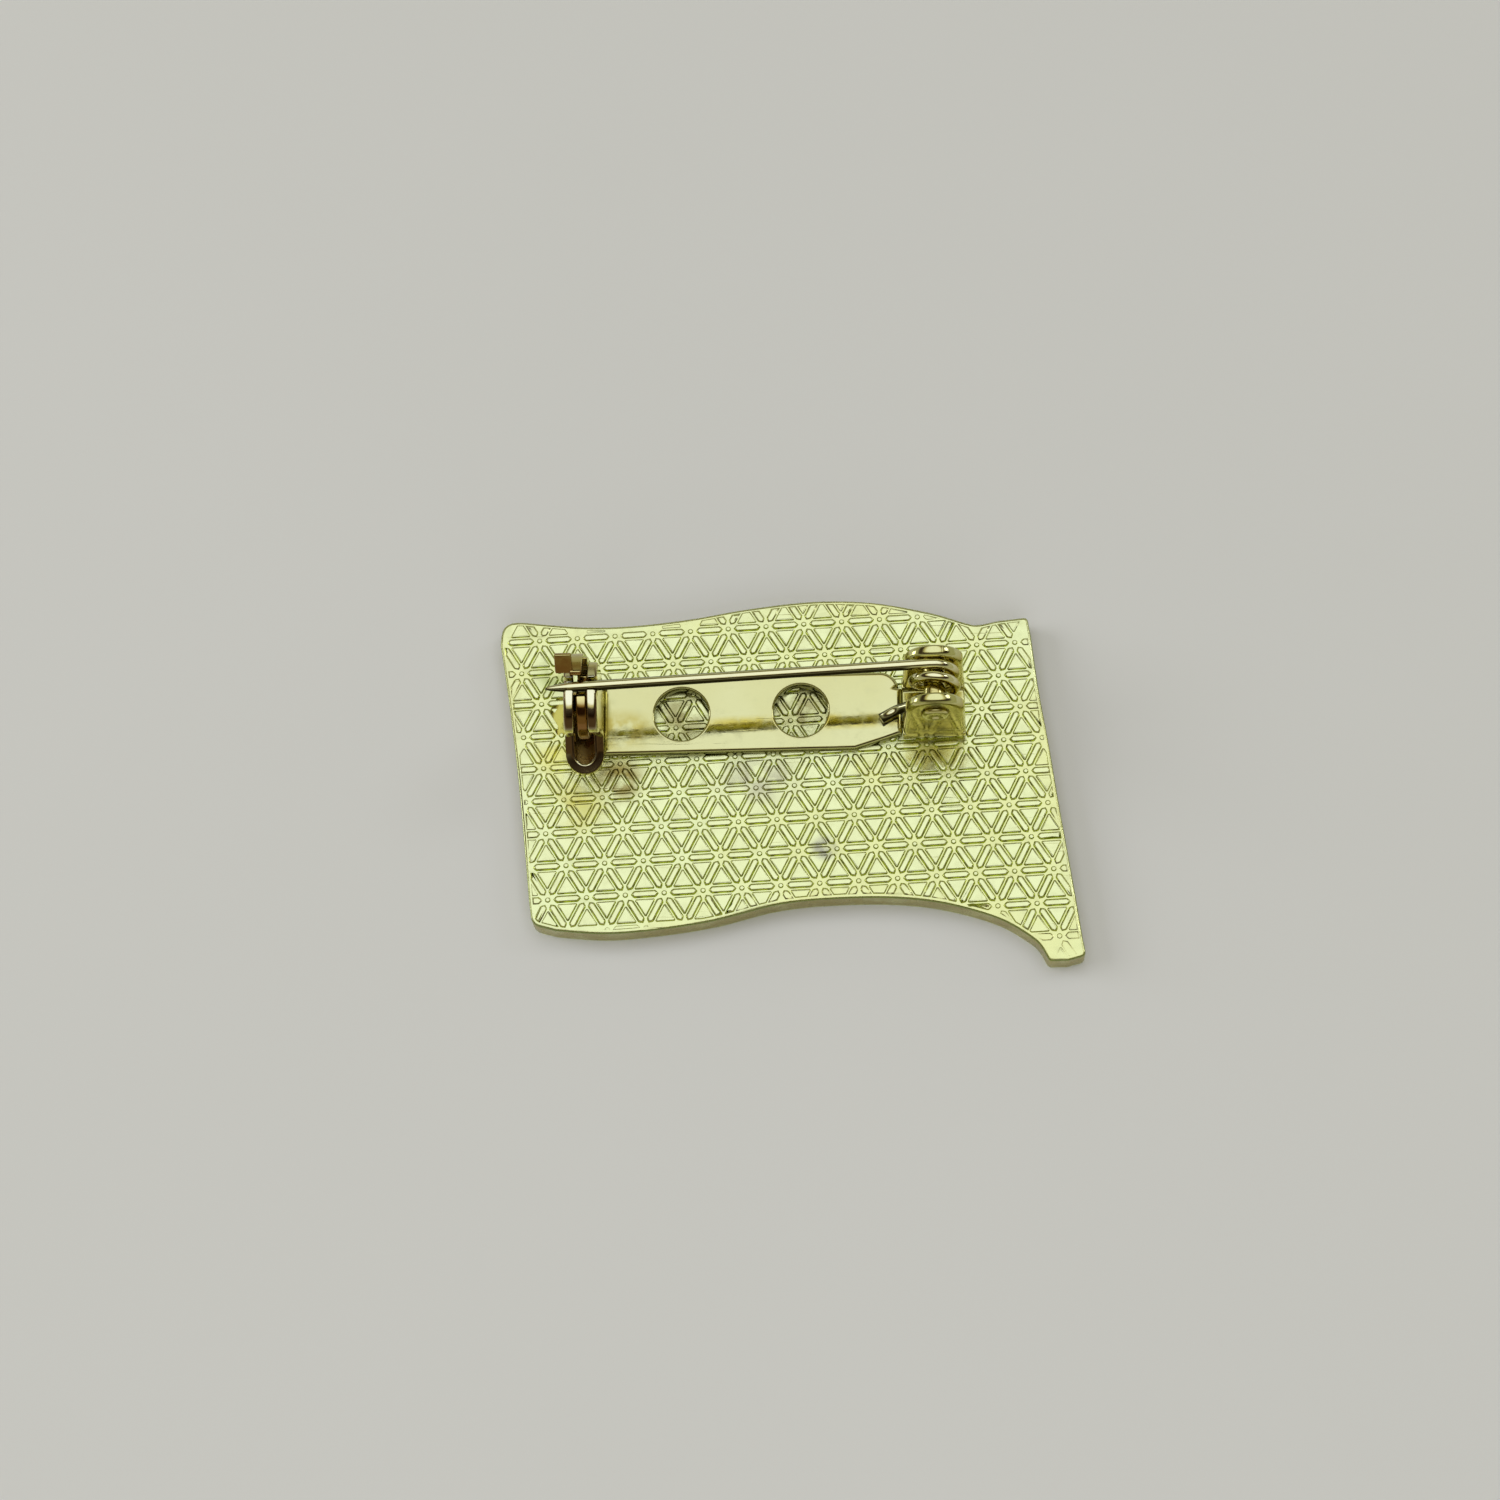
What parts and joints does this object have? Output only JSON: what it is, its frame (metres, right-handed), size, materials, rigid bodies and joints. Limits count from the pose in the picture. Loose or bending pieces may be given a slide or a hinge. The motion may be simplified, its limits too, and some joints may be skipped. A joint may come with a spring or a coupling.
{
  "type": "flag lapel pin",
  "caption": "Waving-flag lapel pin lying face down, its struck triangle-pattern back carrying a bar pin with a sprung coil hinge and a turning safety catch.",
  "frame": {"origin": "under the middle of the plate's outline, on the floor that the front rim rests on", "axes": "+X along the pin bar from the catch to the hinge and the flagstaff, +Y towards the flag's upper edge, +Z out of the back"},
  "size_m": [0.0361, 0.024, 0.0094],
  "materials": {
    "plated_plate": "satin greenish-gold plating",
    "rivet_metal": "satin",
    "pin_wire": "polished pale plating",
    "latch_metal": "polished"
  },
  "bodies": {
    "badge": {"flag_plate": "plated_plate", "hinge_rivet": "rivet_metal"},
    "stem": {"pin_stem": "pin_wire"},
    "latch": {"catch_latch": "latch_metal"}
  },
  "joints": [
    {"name": "stem_swing", "type": "hinge", "parent": "badge", "child": "stem", "pos_m": [0.0093, 0.00435, 0.00648], "axis": [0, 1, 0], "range_deg": [0, 70]},
    {"name": "latch_turn", "type": "hinge", "parent": "badge", "child": "latch", "pos_m": [-0.01236, 0.00397, 0.00563], "axis": [1, 0, 0], "range_deg": [0, 28]}
  ]
}
